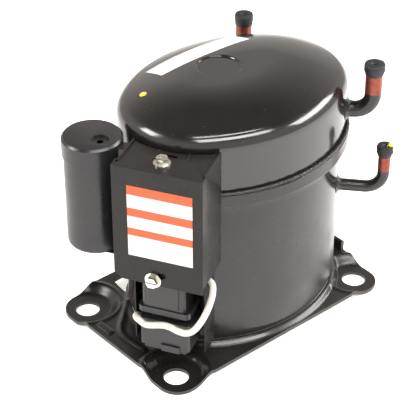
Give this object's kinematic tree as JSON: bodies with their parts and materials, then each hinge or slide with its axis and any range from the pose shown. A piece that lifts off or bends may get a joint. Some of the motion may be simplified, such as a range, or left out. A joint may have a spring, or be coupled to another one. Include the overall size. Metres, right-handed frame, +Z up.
{
  "type": "hermetic reciprocating compressor",
  "caption": "Hermetic reciprocating compressor: welded oval shell on a stamped base with mounting holes, capped copper stubs, terminal box with relay, and a start capacitor.",
  "frame": {"origin": "centre of the rectangle of the four foot holes, on the plane that the feet stand on", "axes": "+Z up, +X along the oval shell's long axis towards the suction and discharge stubs, +Y to the process stub's side"},
  "size_m": [0.2397, 0.1568, 0.205],
  "materials": {
    "black_enamel": "gloss",
    "black_sheet": "satin",
    "black_plastic": "matte",
    "plug_rubber": "matte",
    "zinc_steel": "satin",
    "ground_steel": "satin",
    "grey_iron": "matte",
    "laminated_steel": "satin",
    "rotor_aluminium": "satin",
    "copper_wire": "satin",
    "bronze": "satin",
    "gasket_fibre": "matte",
    "white_sticker": "satin",
    "white_lead": "satin",
    "motor_lead": "satin",
    "connector_nylon": "satin",
    "header_glass": "gloss"
  },
  "bodies": {
    "shell": {"base_plate": "black_enamel", "lower_shell": "black_enamel", "upper_shell": "black_enamel", "weld_bead": "black_enamel", "suction_tube": "black_enamel", "discharge_tube": "black_enamel", "process_tube": "black_enamel", "terminal_header": "zinc_steel", "terminal_glass": "header_glass", "terminal_pins": "bronze", "terminal_bracket": "black_sheet", "control_box": "black_sheet", "terminal_cover": "black_sheet", "cover_screws": "zinc_steel", "cover_label": "white_sticker", "dome_label": "white_sticker", "start_relay": "black_plastic", "overload_protector": "black_plastic", "jumper_lead": "white_lead", "start_capacitor": "black_plastic", "capacitor_cap": "black_plastic", "capacitor_terminals": "bronze", "capacitor_bracket": "black_sheet", "spring_seats": "zinc_steel", "suspension_springs": "zinc_steel", "motor_connector": "connector_nylon", "motor_leads": "motor_lead", "discharge_loop": "zinc_steel"},
    "pump": {"stator_core": "laminated_steel", "stator_winding": "copper_wire", "motor_bolts": "zinc_steel", "motor_nuts": "zinc_steel", "crankcase": "grey_iron", "thrust_washer": "bronze", "cylinder_gasket": "gasket_fibre", "valve_plate": "grey_iron", "valve_stop": "zinc_steel", "head_gasket": "gasket_fibre", "cylinder_head": "grey_iron", "head_bolts": "zinc_steel", "suction_muffler": "black_plastic", "discharge_muffler": "grey_iron"},
    "crank": {"crankshaft": "ground_steel", "rotor": "rotor_aluminium", "balance_weight": "rotor_aluminium", "oil_pickup": "zinc_steel"},
    "slider": {"slide_block": "bronze"},
    "carrier": {"oil_plug": "bronze"},
    "piston_and_yoke": {"yoke": "grey_iron", "piston": "ground_steel"},
    "suction_valve": {"suction_reed": "ground_steel"},
    "discharge_valve": {"discharge_reed": "ground_steel"},
    "suction_cap": {"suction_plug": "plug_rubber"},
    "discharge_cap": {"discharge_plug": "plug_rubber"},
    "process_cap": {"process_plug": "plug_rubber"}
  },
  "joints": [
    {"name": "pump_float", "type": "slide", "parent": "shell", "child": "pump", "axis": [0, 0, 1], "range_m": [-0.002, 0.002], "stiffness_N_per_m": 40000, "springref_m": 0.0011, "deforming": ["suspension_springs", "discharge_loop", "motor_leads"]},
    {"name": "crank_spin", "type": "hinge", "parent": "pump", "child": "crank", "pos_m": [0.01, 0, 0.08], "axis": [0, 0, 1], "continuous": true},
    {"name": "slider_turn", "type": "hinge", "parent": "crank", "child": "slider", "pos_m": [0, 0, 0.146], "axis": [0, 0, 1], "continuous": true},
    {"name": "carrier_turn", "type": "hinge", "parent": "crank", "child": "carrier", "pos_m": [0.005, 0, 0.146], "axis": [0, 0, 1], "continuous": true},
    {"name": "piston_travel", "type": "hinge", "parent": "carrier", "child": "piston_and_yoke", "pos_m": [0, 0, 0.146], "axis": [0, 0, 1], "continuous": true},
    {"name": "suction_valve_bend", "type": "hinge", "parent": "pump", "child": "suction_valve", "pos_m": [0.0725, -0.007, 0.1579], "axis": [0, 1, 0], "range_deg": [0, 4]},
    {"name": "discharge_valve_bend", "type": "hinge", "parent": "pump", "child": "discharge_valve", "pos_m": [0.0764, 0.007, 0.1579], "axis": [0, -1, 0], "range_deg": [0, 4]},
    {"name": "suction_cap_pull", "type": "slide", "parent": "shell", "child": "suction_cap", "axis": [0, 0, 1], "range_m": [0, 0.04]},
    {"name": "discharge_cap_pull", "type": "slide", "parent": "shell", "child": "discharge_cap", "axis": [0, 0, 1], "range_m": [0, 0.028]},
    {"name": "process_cap_pull", "type": "slide", "parent": "shell", "child": "process_cap", "axis": [0, 0, 1], "range_m": [0, 0.04]}
  ],
  "couplings": [
    {"joint": "slider_turn", "follows": "crank_spin", "ratio": -1},
    {"joint": "carrier_turn", "follows": "crank_spin", "ratio": -2},
    {"joint": "piston_travel", "follows": "crank_spin", "ratio": 1}
  ]
}
